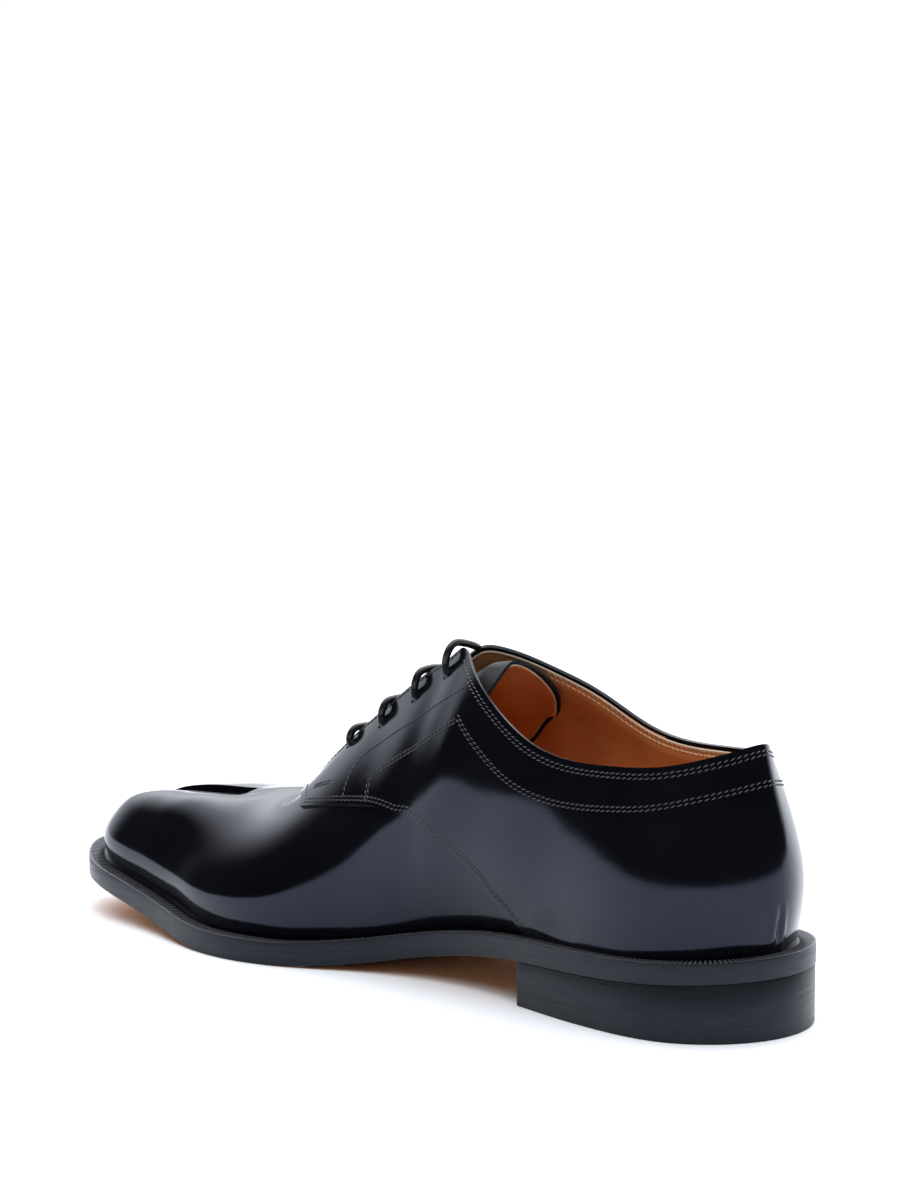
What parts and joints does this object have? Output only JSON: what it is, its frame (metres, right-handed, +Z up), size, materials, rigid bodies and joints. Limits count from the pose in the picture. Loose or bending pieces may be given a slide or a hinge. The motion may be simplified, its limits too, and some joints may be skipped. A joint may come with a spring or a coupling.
{
  "type": "split toe derby shoe",
  "caption": "Low black leather derby with a cleft toe, open collar and laced throat on a leather sole with a ribbed welt and stacked heel; holds a right foot.",
  "frame": {"origin": "on the floor under the middle of the heel, 40 mm ahead of the back of the sole", "axes": "+X to the toe, +Y to the inner side of the foot, +Z up"},
  "size_m": [0.2979, 0.1037, 0.1051],
  "materials": {
    "black_leather": "polished smooth calf, glossy",
    "tongue_leather": "black calf outside, tan lining inside",
    "tan_leather": "smooth tan lining calf",
    "sole_leather": "tan sole leather with black waxed edge",
    "black_edge": "black waxed leather edge",
    "lift_rubber": "black, satin",
    "black_lace": "thin round waxed cotton"
  },
  "bodies": {
    "root": {"outsole": "sole_leather", "welt": "black_edge", "heel_stack": "black_edge", "top_lift": "lift_rubber", "insole": "tan_leather", "upper": "black_leather", "tongue": "tongue_leather", "lace_bar_1": "black_lace", "lace_bar_2": "black_lace", "lace_bar_3": "black_lace", "lace_bar_4": "black_lace"}
  },
  "joints": []
}
